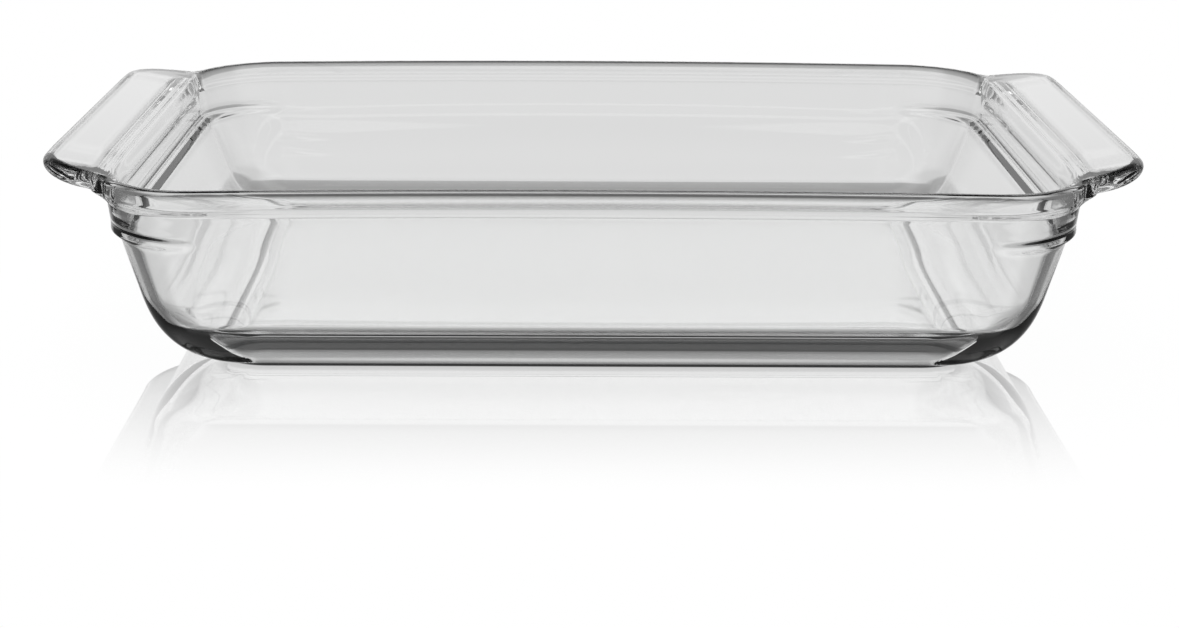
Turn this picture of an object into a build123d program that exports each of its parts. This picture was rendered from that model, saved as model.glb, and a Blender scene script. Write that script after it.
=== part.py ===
"""A pressed-glass lasagna dish for a 9 by 13 inch bake.

The real dish is one piece of clear glass, pressed in a mould. Its bowl has a flat floor, large bends and
sloping walls. Above a small step at each end stands a collar, closed by a rounded rim, and a tab handle
grows out of the rim at each short end. Each of these zones is a solid of its own here. They meet face to
face, as cuts through the one piece of glass.

Millimetres. +X runs along the dish, +Z is up, and the origin is the middle of the face it stands on.
"""

import os
from math import asin, cos, radians, sin, tan

from build123d import *

# Rim, measured over the outside of its bead
rim_length = 336.0
rim_width = 228.0
rim_height = 67.0
rim_corner_radius = 35.0
bead_height = 7.1
bead_proud = 1.8
bead_round = 1.7
crest_width = 5.0
crest_round = 1.3

# Collar, from the step up to the rim
collar_height = 22.0
collar_slope = 3.0
end_step = 3.1
step_rise = 4.0

# Bowl
wall = 5.0
floor_thickness = 5.3
end_slope = 17.4
side_slope = 9.0
end_bend = 34.0
side_bend = 19.0
wall_corner_radius = 30.0
floor_corner_radius = 17.0

# Handles
handle_reach = 21.5
handle_width = 182.0
handle_splay = 3.0
handle_corner_radius = 16.0
handle_thickness = 6.6
handle_edge_round = 3.0
handle_rise = 8.8
handle_cove = 9.0
handle_root = 1.5
cove_half_length = 84.0
cove_taper = 16.0

# How a section changes between the places where it is set
bend_steps = 8
step_shares = (0, 0.25, 0.5, 0.75, 1)
crest_turn_shares = (0, 0.3, 0.6, 0.85, 1)
edge_turn_shares = (-1, -0.7, -0.36, 0, 0.36, 0.7, 1)
cove_end_share = 0.15
overrun = 2.0

# Sizes that follow
seam_height = rim_height - collar_height
collar_foot_height = seam_height + step_rise
collar_lean = (rim_height - collar_foot_height) * tan(radians(collar_slope))
foot_length = rim_length - 2 * (bead_proud + collar_lean)
foot_width = rim_width - 2 * (bead_proud + collar_lean)
bowl_length = foot_length - 2 * end_step
mouth_length = rim_length - 2 * crest_width
mouth_width = rim_width - 2 * crest_width
mouth_radius = rim_corner_radius - crest_width
crest_middle = (rim_length - crest_width) / 2
collar_length = rim_length - 2 * bead_proud
collar_width = rim_width - 2 * bead_proud
handle_cut = rim_length / 2 + handle_root


def between(low, high, share):
    """The value that lies the given share of the way from low to high."""
    return low + (high - low) * share


def eased(share):
    """A share of a step, level at both of its ends."""
    return share * share * (3 - 2 * share)


def inset(height, rise, slope, bend):
    """How far a wall has come in at a height above the floor plane, going down from the top of its rise."""
    lean = radians(slope)
    bend_top = bend * (1 - sin(lean))
    if height >= bend_top:
        return (rise - height) * tan(lean)
    turn = asin(1 - height / bend)
    return (rise - bend_top) * tan(lean) + bend * (cos(lean) - cos(turn))


def outline(length, width, radius, height):
    """A level section of the dish: a rectangle with round corners."""
    with BuildSketch(Plane.XY.offset(height)) as section:
        RectangleRounded(length, width, radius)
    return section.sketch.face()


def bowl_sections(base, thickness):
    """Sections of the bowl's outside, or of its inside where a thickness of glass is left off it.

    The bend's sections come first, at even turns from the floor to the wall, and the last one is the seam.
    """
    rise = seam_height - base
    end_radius = end_bend - thickness
    side_radius = side_bend - thickness
    turns = [between(radians(90), radians(end_slope), i / bend_steps) for i in range(bend_steps + 1)]
    heights = [end_radius * (1 - sin(turn)) for turn in turns] + [rise]
    sections = []
    for height in heights:
        length = bowl_length - 2 * thickness - 2 * inset(height, rise, end_slope, end_radius)
        width = foot_width - 2 * thickness - 2 * inset(height, rise, side_slope, side_radius)
        radius = between(floor_corner_radius, wall_corner_radius, height / rise) - thickness
        sections.append(outline(length, width, radius, base + height))
    return sections


def step_sections(thickness, top_length, top_width, top_height):
    """Sections of the collar over the step at its foot, then straight up to the top that is given."""
    low_length = bowl_length - 2 * thickness
    foot_radius = rim_corner_radius - (rim_width - foot_width) / 2 - thickness
    top_radius = rim_corner_radius - (rim_width - top_width) / 2
    sections = []
    for share in step_shares:
        height = between(seam_height, collar_foot_height, share)
        length = between(low_length, foot_length - 2 * thickness, eased(share))
        radius = between(wall_corner_radius - thickness, foot_radius, eased(share))
        sections.append(outline(length, foot_width - 2 * thickness, radius, height))
    sections.append(outline(top_length, top_width, top_radius, top_height))
    return sections


def crest_sections():
    """Sections of the mouth where it opens out over the round inner edge of the crest."""
    sections = []
    for share in crest_turn_shares:
        turn = radians(90) * share
        opened = crest_round * (1 - cos(turn))
        height = rim_height - crest_round * (1 - sin(turn))
        section = outline(mouth_length + 2 * opened, mouth_width + 2 * opened, mouth_radius + opened, height)
        sections.append(section)
    return sections


def handle_plane():
    """The plane of the right handle's top. It rises outwards from the middle of the rim's crest."""
    rise = radians(handle_rise)
    return Plane(
        origin=(crest_middle, 0, rim_height),
        x_dir=(cos(rise), 0, sin(rise)),
        z_dir=(-sin(rise), 0, cos(rise)),
    )


def handle_sections():
    """Sections of the right handle's slab from its underside to its top, drawn in at both by its round edge."""
    root = -crest_width
    reach = handle_reach + crest_width / 2
    half = handle_thickness / 2
    sections = []
    for share in edge_turn_shares:
        drawn_in = handle_edge_round * (1 - cos(radians(90) * share))
        depth = half * (sin(radians(90) * share) - 1)
        tip = reach - drawn_in
        tip_half = handle_width / 2 - drawn_in
        root_half = tip_half + handle_splay
        with BuildSketch(handle_plane().offset(depth)) as section:
            with BuildLine():
                Polyline((root, -root_half), (tip, -tip_half), (tip, tip_half), (root, root_half), close=True)
            make_face()
            fillet(section.vertices().sort_by(Axis.X)[-2:], handle_corner_radius - drawn_in)
        sections.append(section.sketch.face())
    return sections


def handle_underside(reach):
    """The height of the right handle's underside at a reach out from the middle of the rim's crest."""
    rise = radians(handle_rise)
    return rim_height + reach * tan(rise) - handle_thickness / cos(rise)


def cove_section(place, size):
    """The soft corner between the collar and the right handle's underside, at a place along the handle."""
    start = foot_length / 2
    tip = start + size
    foot = handle_underside(start - crest_middle) - size
    top = handle_underside(tip - crest_middle)
    back = start - overrun
    with BuildSketch(Plane.XZ.offset(-place)) as section:
        with BuildLine():
            TangentArc((start, foot), (tip, top), tangent=(0, 1))
            Polyline((tip, top), (tip, top + overrun), (back, top + overrun), (back, foot), (start, foot))
        make_face()
    return section.sketch.face()


def cove_sections():
    """Sections of the cove, which dies away towards both ends of the handle."""
    full_half = cove_half_length - cove_taper
    small = handle_cove * cove_end_share
    places = ((-cove_half_length, small), (-full_half, handle_cove), (full_half, handle_cove))
    return [cove_section(place, size) for place, size in (*places, (cove_half_length, small))]


with BuildPart() as bowl:
    outside = bowl_sections(0, 0)
    inside = bowl_sections(floor_thickness, wall)
    loft(outside[:-1])
    loft(outside[-2:], ruled=True)
    loft(inside[:-1], mode=Mode.SUBTRACT)
    loft(inside[-2:], ruled=True, mode=Mode.SUBTRACT)
bowl.part.label = "bowl"

with BuildPart() as bead:
    with BuildSketch(Plane.XY.offset(rim_height - bead_height)):
        RectangleRounded(rim_length, rim_width, rim_corner_radius)
    extrude(amount=bead_height)
    fillet(bead.faces().sort_by(Axis.Z)[-1].edges() + bead.faces().sort_by(Axis.Z)[0].edges(), bead_round)

with BuildPart() as collar:
    loft(step_sections(0, collar_length, collar_width, rim_height - bead_round), ruled=True)
    add(bead.part)
    loft(
        step_sections(wall, mouth_length, mouth_width, rim_height - crest_round),
        ruled=True,
        mode=Mode.SUBTRACT,
    )
    loft(crest_sections(), ruled=True, mode=Mode.SUBTRACT)

# The slab of the right handle with the cove under it, cut clear of the mouth along the crest
with BuildPart() as slab:
    loft(handle_sections())
    loft(cove_sections(), ruled=True)
    with BuildSketch(Plane.XY.offset(rim_height - handle_thickness - overrun)):
        opened_radius = mouth_radius + crest_round
        RectangleRounded(mouth_length + 2 * crest_round, mouth_width + 2 * crest_round, opened_radius)
    extrude(amount=2 * (handle_thickness + overrun), mode=Mode.SUBTRACT)

with BuildPart() as rim:
    add(collar.part)
    add(slab.part)
    mirror(slab.part, about=Plane.YZ)
    split(bisect_by=Plane.YZ.offset(handle_cut), keep=Keep.BOTTOM)
    split(bisect_by=Plane.YZ.offset(-handle_cut), keep=Keep.TOP)
rim.part.label = "rim"

with BuildPart() as right_handle:
    add(slab.part)
    split(bisect_by=Plane.YZ.offset(handle_cut), keep=Keep.TOP)
right_handle.part.label = "right_handle"

with BuildPart() as left_handle:
    mirror(right_handle.part, about=Plane.YZ)
left_handle.part.label = "left_handle"

os.makedirs("parts", exist_ok=True)
for piece in (bowl, rim, right_handle, left_handle):
    export_step(piece.part, f"parts/{piece.part.label}.step")
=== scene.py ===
"""The finish of a pressed-glass lasagna dish, seen from the front and a little above.

The dish is one unbroken piece of clear glass, so its skin is one closed mesh. Stations run round the plan. At
each station a profile runs from the middle of the underside, up the outside, over the rim or the handle, and
down the inside to the middle of the floor. Sizes are in metres.
"""

import math
from typing import NamedTuple

import bpy
import numpy as np
from mathutils import Matrix, Vector


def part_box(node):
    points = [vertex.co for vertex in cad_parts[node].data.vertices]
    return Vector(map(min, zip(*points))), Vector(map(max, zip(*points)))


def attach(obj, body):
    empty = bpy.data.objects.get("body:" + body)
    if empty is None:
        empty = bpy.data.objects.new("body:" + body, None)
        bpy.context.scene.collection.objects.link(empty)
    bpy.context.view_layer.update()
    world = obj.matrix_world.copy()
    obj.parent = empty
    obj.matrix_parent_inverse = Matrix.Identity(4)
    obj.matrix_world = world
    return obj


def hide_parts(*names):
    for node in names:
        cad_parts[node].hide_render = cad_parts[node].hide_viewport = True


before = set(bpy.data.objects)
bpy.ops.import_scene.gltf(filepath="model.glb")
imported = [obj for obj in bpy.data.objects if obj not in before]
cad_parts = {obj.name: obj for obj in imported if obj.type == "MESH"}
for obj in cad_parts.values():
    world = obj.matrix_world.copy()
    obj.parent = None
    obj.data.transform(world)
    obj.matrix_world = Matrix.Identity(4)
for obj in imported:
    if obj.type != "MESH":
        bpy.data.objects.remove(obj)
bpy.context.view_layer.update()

MM = 0.001
DEGREE = math.radians(1.0)

# Rim, bowl and handles, as they lie in the frame. A handle's own solid starts a little outside the rim
_, rim_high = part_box("rim")
_, bowl_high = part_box("bowl")
_, handle_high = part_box("right_handle")
HANDLE_ROOT = 1.5 * MM
RIM_HALF_LENGTH = rim_high.x - HANDLE_ROOT
RIM_HALF_WIDTH = rim_high.y
RIM_HEIGHT = 67.0 * MM
SEAM_HEIGHT = bowl_high.z
BOWL_HALF_LENGTH = bowl_high.x
BOWL_HALF_WIDTH = bowl_high.y
HANDLE_TIP = handle_high.x

# Rim: its bead outside, its crest inside, and the step under the collar at the ends
RIM_CORNER_RADIUS = 35.0 * MM
BEAD_HEIGHT = 7.5 * MM
BEAD_PROUD = 1.4 * MM
BEAD_SOFT = 3.8 * MM
BEAD_TOP_ACROSS = 2.7 * MM
BEAD_TOP_DOWN = 2.2 * MM
CREST_WIDTH = 5.5 * MM
CREST_ACROSS = 2.2 * MM
CREST_DOWN = 6.5 * MM
STEP_RISE = 3.0 * MM
INNER_STEP_LIFT = 2.0 * MM
COLLAR_FOOT = SEAM_HEIGHT + STEP_RISE
COLLAR_FOOT_HALF_LENGTH = RIM_HALF_LENGTH - (RIM_HALF_WIDTH - BOWL_HALF_WIDTH)
COLLAR_LEAN = (RIM_HALF_WIDTH - BEAD_PROUD - BOWL_HALF_WIDTH) / (RIM_HEIGHT - BEAD_HEIGHT - SEAM_HEIGHT)

# Walls and bends. The legs of a bend lie along the wall and along the floor
END_WALL = 5.0 * MM
SIDE_WALL = 5.0 * MM
FLOOR_THICKNESS = 5.3 * MM
END_SLOPE = 17.4 * DEGREE
SIDE_SLOPE = 8.8 * DEGREE
SIDE_INNER_SLOPE = 8.0 * DEGREE
SEAM_SOFT = 2.5 * MM
END_BEND_LEGS = (26.0 * MM, 18.5 * MM)
END_BEND_FULLNESS = 0.8
END_INNER_LEGS = (21.0 * MM, 22.0 * MM)
END_INNER_FULLNESS = 0.6
SIDE_BEND_LEGS = (18.2 * MM, 14.8 * MM)
SIDE_BEND_FULLNESS = 0.81
SIDE_INNER_LEGS = (12.1 * MM, 18.6 * MM)
SIDE_INNER_FULLNESS = 0.3
WALL_CORNER_RADIUS = 30.0 * MM
FLOOR_CORNER_RADIUS = 17.0 * MM

# Handles. The bead turns into a handle while it grows out by HANDLE_GROWTH
HANDLE_HALF_WIDTH = 91.0 * MM
HANDLE_SPLAY = 2.0 * MM
HANDLE_CORNER_RADIUS = 21.0 * MM
HANDLE_THICKNESS = 6.4 * MM
HANDLE_SWELL = 5.0 * DEGREE
HANDLE_EDGE = 5.0 * MM
HANDLE_RISE = 8.8 * DEGREE
HANDLE_RISE_SOFT = 1.2 * MM
HANDLE_COVE = 9.0 * MM
HANDLE_NOTCH = 6.0 * MM
HANDLE_GROWTH = 12.0 * MM

# Where a handle is narrow, its round edge and its cove take these shares of what there is
NARROW_EDGE_SHARE = 0.7
NARROW_COVE_SHARE = 0.75

# Pressed glass isn't quite true: the rim of each long side falls away from its middle to the corners. The sag
# grows outwards from SAG_START to SAG_FULL and upwards from SAG_FOOT to the rim
SIDE_SAG = 1.2 * MM
SAG_HALF_LENGTH = 150.0 * MM
SAG_START = RIM_HALF_WIDTH / 2
SAG_FULL = RIM_HALF_WIDTH * 5 / 6
SAG_FOOT = 20.0 * MM

# Clear glass, and what the mould and the fire polish leave on its skin
GLASS_TINT = (0.993, 0.995, 0.994, 1.0)
GLASS_INDEX = 1.5
GLASS_SHADE = (0.93, 0.94, 0.94, 1.0)
RIPPLE = 0.002 * MM
RIPPLE_SIZE = 22.0 * MM
RIPPLE_DETAIL = 1.5
HAZE = 0.006
HAZE_SIZE = 60.0 * MM
HAZE_DETAIL = 4.0
HAZE_PATCHES = (0.45, 0.75, 0.0, 1.0)

# The white sheet. Its shine and its shade fade with the distance from the foot of the dish. A thin near-black
# ring just outside the foot is a painted contact shadow
SHEET_HALF = 9.0
SHEET_DROP = 0.3 * MM
SHEET_WHITE = (0.93, 0.93, 0.93, 1.0)
SHEET_ROUGHNESS = 0.6
SHINE_WHITE = (0.97, 0.97, 0.97, 1.0)
# Painted contact shadow: the near-black of a thin ring painted on the sheet just outside the foot
PAINTED_CONTACT_SHADOW = (0.02, 0.02, 0.02, 1.0)
SHINE_FADE = (0.0, 120.0 * MM, 0.6, 0.0)
GLOW_FADE = (0.0, 200.0 * MM, 0.97, 1.0)
# Where the painted contact shadow starts and ends, by the distance from the foot
PAINTED_SHADOW_START = (1.0 * MM, 1.8 * MM, 0.0, 1.0)
PAINTED_SHADOW_END = (3.6 * MM, 4.4 * MM, 0.97, 0.0)

# The studio by the turn away from straight behind the dish and by the height above the horizon, in degrees
BACKDROP_STOPS = (
    (0.0, 0.78),
    (5.0, 0.7),
    (9.0, 0.68),
    (11.0, 0.72),
    (13.0, 0.78),
    (15.0, 0.74),
    (16.5, 0.68),
    (20.0, 0.67),
    (22.0, 0.42),
    (28.0, 0.34),
    (36.0, 0.18),
    (40.0, 0.06),
)
BACKDROP_BY_TURN = (30.0, 50.0, 1.0, 0.1)
FRONT_BY_TURN = (105.0, 130.0, 0.0, 1.0)
FRONT_TOP_BY_HEIGHT = (30.0, 66.0, 1.5, 0.05)
FRONT_FOOT_BY_HEIGHT = (5.0, 18.0, 0.2, 1.0)
SIDE_LIGHT = 0.18
SIDES_BY_TURN = (22.0, 40.0, 0.0, 1.0)
SIDES_BY_HEIGHT = (36.0, 54.0, 1.0, 3.5)
WHITE_DEPTH = 2.5
WHITE_BY_TURN = (34.0, 50.0, 1.0, 0.0)
WHITE_BY_HEIGHT = (27.0, 33.0, 1.0, 0.0)
LAMP_PLACE = Vector((-0.6, -0.2, 1.9))
LAMP_SIZE = 1.6
LAMP_POWER = 42.0

# The camera that took the photograph, from lines of the dish whose real places are known
IMAGE_WIDTH = 1179.0
CAMERA_PLACE = Vector((-8.2, -781.8, 238.6)) * MM
CAMERA_FOCAL_PIXELS = 2111.0
CAMERA_PITCH = 17.71 * DEGREE
CAMERA_YAW = 0.55 * DEGREE
CAMERA_ROLL = 0.39 * DEGREE
SENSOR_WIDTH = 36.0

# Steps of the mesh round the plan: the handle's outline, then the rest of the corner, then the side
TIP_STEPS, TIP_CORNER_STEPS, HANDLE_SIDE_STEPS, NOTCH_STEPS = 24, 48, 32, 24
CORNER_STEPS, SIDE_STEPS = 26, 60

# Where along the rim's end the stations of the handle's middle, corner, side and notch stand
HANDLE_ROOT_PLACES = (0.0, 74.0 * MM, 85.0 * MM, 93.0 * MM)

# Steps of the mesh up the profile
FLOOR_SHARES = (0.02, 0.12, 0.24, 0.36, 0.48, 0.6, 0.72, 0.84, 0.94)
BEND_POINTS = 90
BEND_STEPS, WALL_STEPS, STEP_STEPS, COLLAR_STEPS = 34, 14, 8, 8
COVE_STEPS, UNDERSIDE_STEPS, EDGE_STEPS, TOP_STEPS, CREST_STEPS = 24, 12, 28, 28, 16


def between(low, high, share):
    """The value that lies the given share of the way from low to high."""
    return low + (high - low) * share


def eased(share):
    """A share held between 0 and 1, level at both ends."""
    held = np.clip(share, 0.0, 1.0)
    return held * held * (3.0 - 2.0 * held)


def heading(turn):
    """The level way at a turn from the dish's length."""
    return np.array([math.cos(turn), math.sin(turn)])


def lifted(plan, height):
    """Plan points at a height, which is one number or one for each point."""
    return np.column_stack([plan, np.broadcast_to(height, len(plan))])


def handle_outline():
    """Half of the right handle's plan, from the middle of its tip to where it runs into the bead.

    It gives points and outward normals, the index at which each run of the outline ends, and the places along
    the rim at which those ends are rooted.
    """
    # The side splays from the tip to a root one crest width inside the crest's middle
    root = RIM_HALF_LENGTH - 1.5 * CREST_WIDTH
    turn_end = math.pi / 2 - math.atan2(HANDLE_SPLAY, HANDLE_TIP - root)
    side_normal = heading(turn_end)
    side_way = np.array([-side_normal[1], side_normal[0]])
    corner = np.array([HANDLE_TIP - HANDLE_CORNER_RADIUS, HANDLE_HALF_WIDTH - HANDLE_CORNER_RADIUS])
    side_start = corner + HANDLE_CORNER_RADIUS * side_normal
    # The notch's circle touches the handle's side and the bead from outside
    rim_centre = np.array([RIM_HALF_LENGTH - RIM_CORNER_RADIUS, RIM_HALF_WIDTH - RIM_CORNER_RADIUS])
    notch_reach = RIM_CORNER_RADIUS + HANDLE_NOTCH
    aside = (side_start + HANDLE_NOTCH * side_normal - rim_centre) @ side_normal
    notch = rim_centre + side_normal * aside - side_way * math.sqrt(notch_reach**2 - aside**2)
    side_end = notch - HANDLE_NOTCH * side_normal
    bead_normal = (notch - rim_centre) / notch_reach
    bead_turn = math.atan2(bead_normal[1], bead_normal[0])
    points = [np.array([HANDLE_TIP, between(0.0, corner[1], i / TIP_STEPS)]) for i in range(TIP_STEPS)]
    normals = [heading(0.0)] * TIP_STEPS
    for turn in np.linspace(0.0, turn_end, TIP_CORNER_STEPS + 1):
        points.append(corner + HANDLE_CORNER_RADIUS * heading(turn))
        normals.append(heading(turn))
    for i in range(1, HANDLE_SIDE_STEPS + 1):
        points.append(between(side_start, side_end, i / HANDLE_SIDE_STEPS))
        normals.append(side_normal)
    for i in range(1, NOTCH_STEPS + 1):
        way = heading(between(turn_end, bead_turn, i / NOTCH_STEPS))
        points.append(notch - HANDLE_NOTCH * way)
        normals.append(way)
    runs = np.cumsum([0, TIP_STEPS, TIP_CORNER_STEPS, HANDLE_SIDE_STEPS, NOTCH_STEPS])
    last_place = (RIM_HALF_WIDTH - RIM_CORNER_RADIUS) + RIM_CORNER_RADIUS * bead_turn
    return np.array(points), np.array(normals), runs, (*HANDLE_ROOT_PLACES, last_place)


class Stations:
    """Places round a quarter of the plan, from the middle of the right end to the middle of the rear side.

    Each is a share of the end's straight, a turn of the corner, or a share of the side's straight, so that
    the same station can be found on every level section of the dish.
    """

    def __init__(self):
        self.outline, self.outline_normals, runs, places = handle_outline()
        straight = RIM_HALF_WIDTH - RIM_CORNER_RADIUS
        along = np.interp(np.arange(len(self.outline)), runs, places)
        turn = np.clip((along - straight) / RIM_CORNER_RADIUS, 0.0, None)
        rest = np.linspace(turn[-1], math.pi / 2, CORNER_STEPS + 1)[1:]
        side = np.linspace(0.0, 1.0, SIDE_STEPS + 1)[1:]
        self.end_share = np.concatenate([np.clip(along / straight, 0.0, 1.0), np.ones(len(rest) + len(side))])
        self.turn = np.concatenate([turn, rest, np.full(len(side), math.pi / 2)])
        self.side_share = np.concatenate([np.zeros(len(along) + len(rest)), side])
        self.count = len(self.turn)
        self.handle_count = len(along)

    def ring(self, half_length, half_width, radius):
        """The points and outward normals of a level section at every station."""
        cosine, sine = np.cos(self.turn), np.sin(self.turn)
        x = (half_length - radius) * (1.0 - self.side_share) + radius * cosine
        y = (half_width - radius) * self.end_share + radius * sine
        return np.stack([x, y], -1), np.stack([cosine, sine], -1)


class Face(NamedTuple):
    """One face of a wall: how deep it lies in the glass at the seam, its slope, and the line of its bend."""

    depth: float
    slope: float
    bend_heights: np.ndarray
    bend_insets: np.ndarray

    def inset(self, height, rise):
        """How far the face has come in at a height above its floor, going down from the top of its rise."""
        bend = np.interp(height, self.bend_heights, self.bend_insets, right=0.0)
        return (rise - height) * math.tan(self.slope) + bend


def wall_face(depth, slope, legs, fullness):
    """A face whose bend leaves the wall and the floor at the given legs from their corner.

    The fuller the bend, the closer it runs to the corner.
    """
    wall_leg, floor_leg = legs
    share = np.linspace(0.0, 1.0, BEND_POINTS)
    wall_part = share**2
    floor_part = (1.0 - share) ** 2
    total = wall_part + floor_part + 2.0 * fullness * share * (1.0 - share)
    height = wall_part * wall_leg * math.cos(slope) / total
    across = (wall_part * wall_leg * math.sin(slope) - floor_part * floor_leg) / total
    return Face(depth, slope, height, height * math.tan(slope) - across)


def seam_dip(height):
    """How far the outside of a long side draws in about the seam, where its slope changes softly."""
    away = (height - SEAM_HEIGHT) / SEAM_SOFT
    soft = SEAM_SOFT * (np.logaddexp(0.0, away) - np.maximum(away, 0.0))
    return (math.tan(SIDE_SLOPE) - COLLAR_LEAN) * soft


def bowl_rings(stations, base, end, side, inside):
    """Rings of the bowl's outside or inside, from the middle of its floor to the seam."""
    rise = SEAM_HEIGHT - base
    bend_top = max(end.bend_heights[-1], side.bend_heights[-1])
    heights = [bend_top * (i / BEND_STEPS) ** 2 for i in range(BEND_STEPS + 1)]
    heights += [between(bend_top, rise, (i + 1) / WALL_STEPS) for i in range(WALL_STEPS)]
    rings = []
    for height in heights:
        half_length = BOWL_HALF_LENGTH - end.depth - end.inset(height, rise)
        half_width = BOWL_HALF_WIDTH - side.depth - side.inset(height, rise)
        if not inside:
            half_width -= seam_dip(height)
        radius = between(FLOOR_CORNER_RADIUS, WALL_CORNER_RADIUS, height / rise) - side.depth
        plan, _ = stations.ring(half_length, half_width, radius)
        rings.append(lifted(plan, base + height))
    floor = [lifted(rings[0][:, :2] * share, base) for share in FLOOR_SHARES]
    return floor + rings


def collar_ring(stations, height, top, inside):
    """The collar's outside or inside at a height for each station, up to the section where it ends.

    At the ends it steps out from the bowl, a little higher inside than outside, and the step dies away round
    the corners.
    """
    top_half_length, top_half_width, top_radius, top_height = top
    end_wall, side_wall, lift = (END_WALL, SIDE_WALL, INNER_STEP_LIFT) if inside else (0.0, 0.0, 0.0)
    stepped = 1.0 - eased((height - (SEAM_HEIGHT + lift)) / STEP_RISE)
    share = np.clip((height - SEAM_HEIGHT) / (top_height - SEAM_HEIGHT), 0.0, 1.0)
    half_length = between(COLLAR_FOOT_HALF_LENGTH - end_wall, top_half_length, share)
    half_length = half_length - (COLLAR_FOOT_HALF_LENGTH - BOWL_HALF_LENGTH) * stepped
    half_width = between(BOWL_HALF_WIDTH - side_wall, top_half_width, share)
    if not inside:
        half_width = half_width - seam_dip(height)
    radius_share = eased((height - SEAM_HEIGHT) / STEP_RISE / 2.0)
    radius = between(WALL_CORNER_RADIUS - side_wall, top_radius, radius_share)
    plan, _ = stations.ring(half_length, half_width, radius)
    return lifted(plan, height)


def rim_top(x):
    """The height of the rim's crest or of the handle's top, which rises outwards from the crest's middle."""
    beyond = np.abs(x) - (RIM_HALF_LENGTH - CREST_WIDTH / 2)
    softened = HANDLE_RISE_SOFT * np.logaddexp(0.0, beyond / HANDLE_RISE_SOFT)
    return RIM_HEIGHT + math.tan(HANDLE_RISE) * softened


def bead_section(edge, edge_normals, face):
    """The bead from the collar's face to its shoulder: plan points and depths below the top."""
    plans, depths = [], []
    soft_steps = COVE_STEPS + UNDERSIDE_STEPS
    for i in range(soft_steps + 1):
        share = i / soft_steps
        plans.append(between(face, edge, eased(share)))
        depths.append(BEAD_HEIGHT + BEAD_SOFT * (0.5 - share))
    for i in range(1, EDGE_STEPS + 1):
        plans.append(edge)
        depths.append(between(BEAD_HEIGHT - BEAD_SOFT / 2, BEAD_TOP_DOWN, i / EDGE_STEPS))
    for i in range(1, EDGE_STEPS + 1):
        turn = math.pi / 2 * i / EDGE_STEPS
        plans.append(edge - edge_normals * BEAD_TOP_ACROSS * (1.0 - math.cos(turn)))
        depths.append(BEAD_TOP_DOWN * (1.0 - math.sin(turn)))
    return plans, depths


def handle_section(edge, edge_normals, face, reach):
    """The handle from the collar's face to its shoulder: a cove, its underside and a round edge."""
    edge_round = np.minimum(HANDLE_EDGE, NARROW_EDGE_SHARE * reach)
    shoulder = edge - edge_normals * edge_round[:, None]
    length = np.linalg.norm(shoulder - face, axis=1)
    way = (shoulder - face) / length[:, None]
    cove = np.minimum(HANDLE_COVE, NARROW_COVE_SHARE * length)
    root = HANDLE_THICKNESS + (length - cove) * math.tan(HANDLE_SWELL)
    plans, depths = [], []
    for i in range(COVE_STEPS + 1):
        turn = math.pi / 2 * i / COVE_STEPS
        plans.append(face + way * (cove * (1.0 - math.cos(turn)))[:, None])
        depths.append(root + cove * (1.0 - math.sin(turn)))
    start = plans[-1]
    for i in range(1, UNDERSIDE_STEPS + 1):
        plans.append(between(start, shoulder, i / UNDERSIDE_STEPS))
        depths.append(between(root, HANDLE_THICKNESS, i / UNDERSIDE_STEPS))
    for i in range(1, 2 * EDGE_STEPS + 1):
        turn = math.pi / 2 * (i / EDGE_STEPS - 1.0)
        plans.append(edge - edge_normals * (edge_round * (1.0 - math.cos(turn)))[:, None])
        depths.append(HANDLE_THICKNESS * (1.0 - math.sin(turn)) / 2)
    return plans, depths


def mouth_section(opened):
    """Half length, half width and corner radius of the crest's inner edge, opened out by a little."""
    return (
        RIM_HALF_LENGTH - CREST_WIDTH + opened,
        RIM_HALF_WIDTH - CREST_WIDTH + opened,
        RIM_CORNER_RADIUS - CREST_WIDTH + opened,
    )


def outer_rings(stations):
    """Rings of the outside from the seam, up the collar and round the flange, to the crest's inner edge."""
    collar = (RIM_HALF_LENGTH - BEAD_PROUD, RIM_HALF_WIDTH - BEAD_PROUD, RIM_CORNER_RADIUS - BEAD_PROUD)
    collar_top = (*collar, RIM_HEIGHT - BEAD_HEIGHT)
    edge, edge_normals = stations.ring(RIM_HALF_LENGTH, RIM_HALF_WIDTH, RIM_CORNER_RADIUS)
    edge[: stations.handle_count] = stations.outline
    edge_normals[: stations.handle_count] = stations.outline_normals
    face, _ = stations.ring(*collar)
    reach = np.linalg.norm(edge - face, axis=1)
    handle = eased((reach - BEAD_PROUD) / HANDLE_GROWTH)
    bead_plans, bead_depths = bead_section(edge, edge_normals, face)
    handle_plans, handle_depths = handle_section(edge, edge_normals, face, reach)
    plans = [between(bead, tab, handle[:, None]) for bead, tab in zip(bead_plans, handle_plans)]
    depths = [between(bead, tab, handle) for bead, tab in zip(bead_depths, handle_depths)]
    heights = [rim_top(plan[:, 0]) - depth for plan, depth in zip(plans, depths)]
    rings = []
    for i in range(1, STEP_STEPS + 1):
        height = np.full(stations.count, between(SEAM_HEIGHT, COLLAR_FOOT, i / STEP_STEPS))
        rings.append(collar_ring(stations, height, collar_top, inside=False))
    for i in range(1, COLLAR_STEPS + 1):
        height = between(COLLAR_FOOT, heights[0], i / COLLAR_STEPS)
        rings.append(collar_ring(stations, height, collar_top, inside=False))
    settle = rings[-1][:, :2] - plans[0]
    for i, (plan, height) in enumerate(zip(plans[1:], heights[1:])):
        eased_off = settle * (1.0 - eased((i + 1) / COVE_STEPS))
        rings.append(lifted(plan + eased_off, height))
    shoulder = plans[-1]
    crest, _ = stations.ring(*mouth_section(CREST_ACROSS))
    for i in range(1, TOP_STEPS + 1):
        plan = between(shoulder, crest, i / TOP_STEPS)
        rings.append(lifted(plan, rim_top(plan[:, 0])))
    return rings


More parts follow.
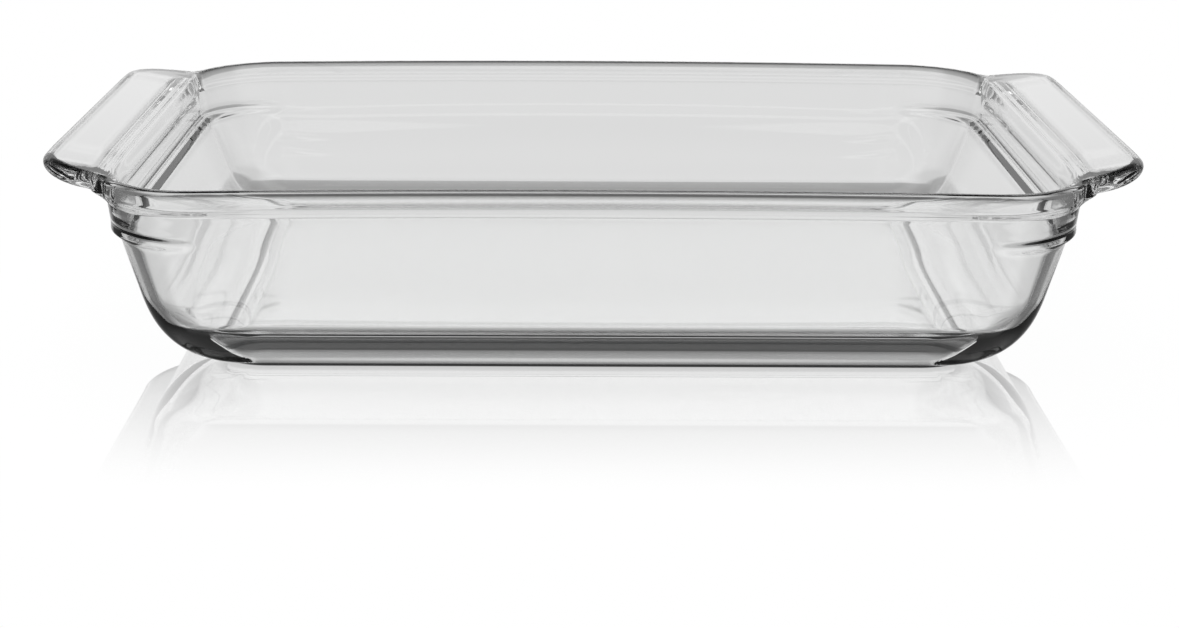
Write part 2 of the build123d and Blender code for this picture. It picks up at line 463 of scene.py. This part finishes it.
def inner_rings(stations):
    """Rings of the inside from the round inner edge of the crest down to the seam."""
    mouth = (*mouth_section(0.0), RIM_HEIGHT - CREST_DOWN)
    rings = []
    for i in range(1, CREST_STEPS + 1):
        turn = math.pi / 2 * (1.0 - i / CREST_STEPS)
        plan, _ = stations.ring(*mouth_section(CREST_ACROSS * (1.0 - math.cos(turn))))
        rings.append(lifted(plan, RIM_HEIGHT - CREST_DOWN * (1.0 - math.sin(turn))))
    step_top = COLLAR_FOOT + INNER_STEP_LIFT
    heights = [between(mouth[3], step_top, i / COLLAR_STEPS) for i in range(1, COLLAR_STEPS + 1)]
    heights += [between(step_top, SEAM_HEIGHT, i / STEP_STEPS) for i in range(1, STEP_STEPS)]
    for height in heights:
        rings.append(collar_ring(stations, np.full(stations.count, height), mouth, inside=True))
    return rings


def whole_ring(quarter):
    """A quarter's points mirrored to the other three, in one turn from the middle of the right end."""
    second = quarter[::-1][1:] * (-1, 1, 1)
    half = np.concatenate([quarter, second])
    return np.concatenate([half, half[::-1][1:-1] * (1, -1, 1)])


def sagged(points):
    """Points of a perfect dish, with the sag that the long sides took before the glass was cold."""
    x, y, z = points.T
    along = np.clip(1.0 - (x / SAG_HALF_LENGTH) ** 2, 0.0, None)
    outwards = eased((np.abs(y) - SAG_START) / (SAG_FULL - SAG_START))
    upwards = eased((z - SAG_FOOT) / (RIM_HEIGHT - SAG_FOOT))
    return np.column_stack([x, y, z - outwards * upwards * SIDE_SAG * (1.0 - along)])


def make_dish():
    """The skin of the whole dish as one closed mesh."""
    stations = Stations()
    outer_end = wall_face(0.0, END_SLOPE, END_BEND_LEGS, END_BEND_FULLNESS)
    outer_side = wall_face(0.0, SIDE_SLOPE, SIDE_BEND_LEGS, SIDE_BEND_FULLNESS)
    inner_end = wall_face(END_WALL, END_SLOPE, END_INNER_LEGS, END_INNER_FULLNESS)
    inner_side = wall_face(SIDE_WALL, SIDE_INNER_SLOPE, SIDE_INNER_LEGS, SIDE_INNER_FULLNESS)
    outside = bowl_rings(stations, 0.0, outer_end, outer_side, inside=False)
    inside = bowl_rings(stations, FLOOR_THICKNESS, inner_end, inner_side, inside=True)
    quarters = outside + outer_rings(stations) + inner_rings(stations) + inside[::-1]
    rings = [whole_ring(quarter) for quarter in quarters]
    count = len(rings[0])
    points = sagged(np.concatenate(rings))
    faces = [list(range(count))[::-1]]
    for ring in range(len(rings) - 1):
        low, high = ring * count, (ring + 1) * count
        for i in range(count):
            after = (i + 1) % count
            faces.append([low + i, low + after, high + after, high + i])
    last = (len(rings) - 1) * count
    faces.append([last + i for i in range(count)])
    mesh = bpy.data.meshes.new("dish")
    mesh.from_pydata(points.tolist(), [], faces)
    mesh.shade_smooth()
    mesh.validate()
    dish = bpy.data.objects.new("dish", mesh)
    bpy.context.scene.collection.objects.link(dish)
    return dish


def worked_out(tree, kind, *values):
    """A maths node on sockets or numbers, giving its result."""
    node = tree.nodes.new("ShaderNodeMath")
    node.operation = kind
    for socket, value in zip(node.inputs, values):
        if isinstance(value, (int, float)):
            socket.default_value = value
        else:
            tree.links.new(value, socket)
    return node.outputs[0]


def spread(tree, value, start, end, first, last):
    """A value that goes smoothly from first to last while the given one goes from start to end."""
    node = tree.nodes.new("ShaderNodeMapRange")
    node.interpolation_type = "SMOOTHSTEP"
    tree.links.new(value, node.inputs["Value"])
    node.inputs["From Min"].default_value = start
    node.inputs["From Max"].default_value = end
    node.inputs["To Min"].default_value = first
    node.inputs["To Max"].default_value = last
    return node.outputs["Result"]


def pressed_skin():
    """What the mould and the fire polish leave on the glass: a faint ripple, and a faint haze in places.

    It gives the ripple's height and the roughness of the skin.
    """
    group = bpy.data.node_groups.new("pressed_skin", "ShaderNodeTree")
    for name, value in (("Ripple Size", RIPPLE_SIZE), ("Haze Size", HAZE_SIZE), ("Haze", HAZE)):
        socket = group.interface.new_socket(name, in_out="INPUT", socket_type="NodeSocketFloat")
        socket.default_value = value
    for name in ("Height", "Roughness"):
        group.interface.new_socket(name, in_out="OUTPUT", socket_type="NodeSocketFloat")
    nodes, links = group.nodes, group.links
    given, out = nodes.new("NodeGroupInput"), nodes.new("NodeGroupOutput")
    place = nodes.new("ShaderNodeTexCoord")
    ripple, haze = nodes.new("ShaderNodeTexNoise"), nodes.new("ShaderNodeTexNoise")
    for noise, size, detail in ((ripple, "Ripple Size", RIPPLE_DETAIL), (haze, "Haze Size", HAZE_DETAIL)):
        links.new(place.outputs["Object"], noise.inputs["Vector"])
        links.new(worked_out(group, "DIVIDE", 1.0, given.outputs[size]), noise.inputs["Scale"])
        noise.inputs["Detail"].default_value = detail
    patches = spread(group, haze.outputs["Fac"], *HAZE_PATCHES)
    links.new(ripple.outputs["Fac"], out.inputs["Height"])
    links.new(worked_out(group, "MULTIPLY", patches, given.outputs["Haze"]), out.inputs["Roughness"])
    return group


def clear_glass():
    """Clear pressed glass. Lamps reach through it, a little dimmed."""
    material = bpy.data.materials.new("clear_glass")
    material.use_nodes = True
    nodes, links = material.node_tree.nodes, material.node_tree.links
    nodes.clear()
    glass = nodes.new("ShaderNodeBsdfPrincipled")
    glass.inputs["Base Color"].default_value = GLASS_TINT
    glass.inputs["IOR"].default_value = GLASS_INDEX
    glass.inputs["Transmission Weight"].default_value = 1.0
    skin = nodes.new("ShaderNodeGroup")
    skin.node_tree = pressed_skin()
    bump = nodes.new("ShaderNodeBump")
    bump.inputs["Distance"].default_value = RIPPLE
    links.new(skin.outputs["Height"], bump.inputs["Height"])
    links.new(skin.outputs["Roughness"], glass.inputs["Roughness"])
    links.new(bump.outputs["Normal"], glass.inputs["Normal"])
    dimmed = nodes.new("ShaderNodeBsdfTransparent")
    dimmed.inputs["Color"].default_value = GLASS_SHADE
    path = nodes.new("ShaderNodeLightPath")
    mix = nodes.new("ShaderNodeMixShader")
    out = nodes.new("ShaderNodeOutputMaterial")
    links.new(path.outputs["Is Shadow Ray"], mix.inputs["Fac"])
    links.new(glass.outputs["BSDF"], mix.inputs[1])
    links.new(dimmed.outputs["BSDF"], mix.inputs[2])
    links.new(mix.outputs["Shader"], out.inputs["Surface"])
    return material


def away_from_foot(tree):
    """The level distance from the flat foot that the dish stands on, a rectangle with round corners."""
    place = tree.nodes.new("ShaderNodeNewGeometry")
    split = tree.nodes.new("ShaderNodeSeparateXYZ")
    tree.links.new(place.outputs["Position"], split.inputs[0])
    half_length = BOWL_HALF_LENGTH - SEAM_HEIGHT * math.tan(END_SLOPE) - END_BEND_LEGS[1]
    half_width = BOWL_HALF_WIDTH - SEAM_HEIGHT * math.tan(SIDE_SLOPE) - SIDE_BEND_LEGS[1]
    beyond = []
    for axis, half in (("X", half_length), ("Y", half_width)):
        distance = worked_out(tree, "ABSOLUTE", split.outputs[axis])
        distance = worked_out(tree, "SUBTRACT", distance, half - FLOOR_CORNER_RADIUS)
        beyond.append(worked_out(tree, "MAXIMUM", distance, 0.0))
    squares = worked_out(tree, "MULTIPLY", beyond[0], beyond[0])
    squares = worked_out(tree, "MULTIPLY_ADD", beyond[1], beyond[1], squares)
    return worked_out(tree, "SUBTRACT", worked_out(tree, "SQRT", squares), FLOOR_CORNER_RADIUS)


def white_sheet():
    """A white sheet that mirrors the backdrop. Its shine fades to plain white away from the dish, and a thin
    near-black ring painted just outside the foot stands in for the contact shadow.
    """
    material = bpy.data.materials.new("white_sheet")
    material.use_nodes = True
    tree = material.node_tree
    nodes, links = tree.nodes, tree.links
    sheet = nodes["Principled BSDF"]
    sheet.inputs["Base Color"].default_value = SHEET_WHITE
    sheet.inputs["Roughness"].default_value = SHEET_ROUGHNESS
    white = nodes.new("ShaderNodeEmission")
    mirror = nodes.new("ShaderNodeBsdfAnisotropic")
    mirror.inputs["Color"].default_value = SHINE_WHITE
    mirror.inputs["Roughness"].default_value = 0.0
    # A near-black diffuse for the painted contact shadow
    painted_shadow = nodes.new("ShaderNodeBsdfDiffuse")
    painted_shadow.inputs["Color"].default_value = PAINTED_CONTACT_SHADOW
    seen = nodes.new("ShaderNodeLightPath").outputs["Is Camera Ray"]
    away = away_from_foot(tree)
    pale = nodes.new("ShaderNodeMixShader")
    links.new(worked_out(tree, "MULTIPLY", seen, spread(tree, away, *GLOW_FADE)), pale.inputs["Fac"])
    links.new(sheet.outputs["BSDF"], pale.inputs[1])
    links.new(white.outputs["Emission"], pale.inputs[2])
    # The camera sees the shine fade. Through the glass the sheet is all mirror
    share = nodes.new("ShaderNodeMix")
    links.new(seen, share.inputs["Factor"])
    share.inputs[2].default_value = 1.0
    links.new(spread(tree, away, *SHINE_FADE), share.inputs[3])
    shiny = nodes.new("ShaderNodeMixShader")
    links.new(share.outputs[0], shiny.inputs["Fac"])
    links.new(pale.outputs["Shader"], shiny.inputs[1])
    links.new(mirror.outputs["BSDF"], shiny.inputs[2])
    # Painted contact shadow: a thin ring just outside the foot is mixed to near-black, not a cast shadow
    painted_shadow_ring = worked_out(tree, "MULTIPLY", spread(tree, away, *PAINTED_SHADOW_START), spread(tree, away, *PAINTED_SHADOW_END))
    with_painted_shadow = nodes.new("ShaderNodeMixShader")
    links.new(painted_shadow_ring, with_painted_shadow.inputs["Fac"])
    links.new(shiny.outputs["Shader"], with_painted_shadow.inputs[1])
    links.new(painted_shadow.outputs["BSDF"], with_painted_shadow.inputs[2])
    links.new(with_painted_shadow.outputs["Shader"], nodes["Material Output"].inputs["Surface"])
    return material


def make_floor():
    """The floor, a hair below the foot of the dish."""
    corners = [(x * SHEET_HALF, y * SHEET_HALF, -SHEET_DROP) for x, y in ((-1, -1), (1, -1), (1, 1), (-1, 1))]
    mesh = bpy.data.meshes.new("floor")
    mesh.from_pydata(corners, [], [(0, 1, 2, 3)])
    mesh.materials.append(white_sheet())
    floor = bpy.data.objects.new("floor", mesh)
    bpy.context.scene.collection.objects.link(floor)


def by_angle(tree, angle, start, end, first, last):
    """A brightness that goes smoothly from first to last between two angles in degrees."""
    return spread(tree, angle, start * DEGREE, end * DEGREE, first, last)


def backdrop_light(tree, turn, height):
    """The backdrop behind the dish, brightest low down, which ends softly at both sides."""
    top = BACKDROP_STOPS[-1][0]
    climb = tree.nodes.new("ShaderNodeValToRGB")
    climb.color_ramp.interpolation = "LINEAR"
    tree.links.new(worked_out(tree, "DIVIDE", height, top * DEGREE), climb.inputs["Fac"])
    for angle, _ in BACKDROP_STOPS[1:-1]:
        climb.color_ramp.elements.new(angle / top)
    for stop, (_, bright) in zip(climb.color_ramp.elements, BACKDROP_STOPS):
        stop.color = (bright, bright, bright, 1.0)
    return worked_out(tree, "MULTIPLY", climb.outputs["Color"], by_angle(tree, turn, *BACKDROP_BY_TURN))


def front_light(tree, turn, height):
    """The soft light behind the camera, which fades up to the ceiling and down to the horizon."""
    light = by_angle(tree, turn, *FRONT_BY_TURN)
    light = worked_out(tree, "MULTIPLY", light, by_angle(tree, height, *FRONT_TOP_BY_HEIGHT))
    return worked_out(tree, "MULTIPLY", light, by_angle(tree, height, *FRONT_FOOT_BY_HEIGHT))


def side_light(tree, turn, height):
    """The dim sides of the studio, lighter overhead."""
    light = worked_out(tree, "MULTIPLY", by_angle(tree, turn, *SIDES_BY_TURN), SIDE_LIGHT)
    return worked_out(tree, "MULTIPLY", light, by_angle(tree, height, *SIDES_BY_HEIGHT))


def plain_white(tree, turn, height):
    """White low behind the dish, for what is seen past it, in the floor or through one layer of glass."""
    path = tree.nodes.new("ShaderNodeLightPath")
    first = worked_out(tree, "LESS_THAN", path.outputs["Ray Depth"], WHITE_DEPTH)
    white = worked_out(
        tree,
        "MULTIPLY",
        by_angle(tree, turn, *WHITE_BY_TURN),
        by_angle(tree, height, *WHITE_BY_HEIGHT),
    )
    return worked_out(tree, "MULTIPLY", first, white)


def make_world():
    """A studio with a lit backdrop behind the dish, a softer light behind the camera, and dim sides."""
    world = bpy.data.worlds.new("studio")
    bpy.context.scene.world = world
    world.use_nodes = True
    tree = world.node_tree
    place = tree.nodes.new("ShaderNodeTexCoord")
    split = tree.nodes.new("ShaderNodeSeparateXYZ")
    tree.links.new(place.outputs["Generated"], split.inputs[0])
    x, y, z = split.outputs
    turn = worked_out(tree, "ABSOLUTE", worked_out(tree, "ARCTAN2", x, y))
    height = worked_out(tree, "ARCSINE", z)
    studio = worked_out(tree, "ADD", backdrop_light(tree, turn, height), front_light(tree, turn, height))
    studio = worked_out(tree, "MAXIMUM", studio, side_light(tree, turn, height))
    studio = worked_out(tree, "MAXIMUM", studio, plain_white(tree, turn, height))
    tree.links.new(studio, tree.nodes["Background"].inputs["Color"])


def make_overhead():
    """A soft square lamp over the dish, which doesn't show in the glass."""
    data = bpy.data.lights.new("overhead", "AREA")
    data.size = LAMP_SIZE
    data.energy = LAMP_POWER
    lamp = bpy.data.objects.new("overhead", data)
    lamp.location = LAMP_PLACE
    lamp.rotation_euler = (-LAMP_PLACE).to_track_quat("-Z", "Y").to_euler()
    lamp.visible_transmission = False
    lamp.visible_glossy = False
    bpy.context.scene.collection.objects.link(lamp)


def make_camera():
    """The photograph's camera."""
    data = bpy.data.cameras.new("camera")
    data.sensor_width = SENSOR_WIDTH
    data.lens = CAMERA_FOCAL_PIXELS / IMAGE_WIDTH * SENSOR_WIDTH
    data.clip_start, data.clip_end = 0.01, 50.0
    camera = bpy.data.objects.new("camera", data)
    ahead = Vector(
        (
            math.sin(CAMERA_YAW) * math.cos(CAMERA_PITCH),
            math.cos(CAMERA_YAW) * math.cos(CAMERA_PITCH),
            -math.sin(CAMERA_PITCH),
        )
    )
    level = Vector((math.cos(CAMERA_YAW), -math.sin(CAMERA_YAW), 0.0))
    up = level.cross(ahead)
    right = level * math.cos(CAMERA_ROLL) + up * math.sin(CAMERA_ROLL)
    rolled_up = up * math.cos(CAMERA_ROLL) - level * math.sin(CAMERA_ROLL)
    turn = Matrix((right, rolled_up, -ahead)).transposed().to_4x4()
    camera.matrix_world = Matrix.Translation(CAMERA_PLACE) @ turn
    bpy.context.scene.collection.objects.link(camera)
    bpy.context.scene.camera = camera


make_camera()
make_floor()
make_world()
make_overhead()

dish = make_dish()
dish.data.materials.append(clear_glass())
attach(dish, "root")
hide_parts("bowl", "rim", "left_handle", "right_handle")

scene = bpy.context.scene
scene.view_settings.view_transform = "Standard"
scene.cycles.max_bounces = 24
scene.cycles.transmission_bounces = 24
scene.cycles.glossy_bounces = 12
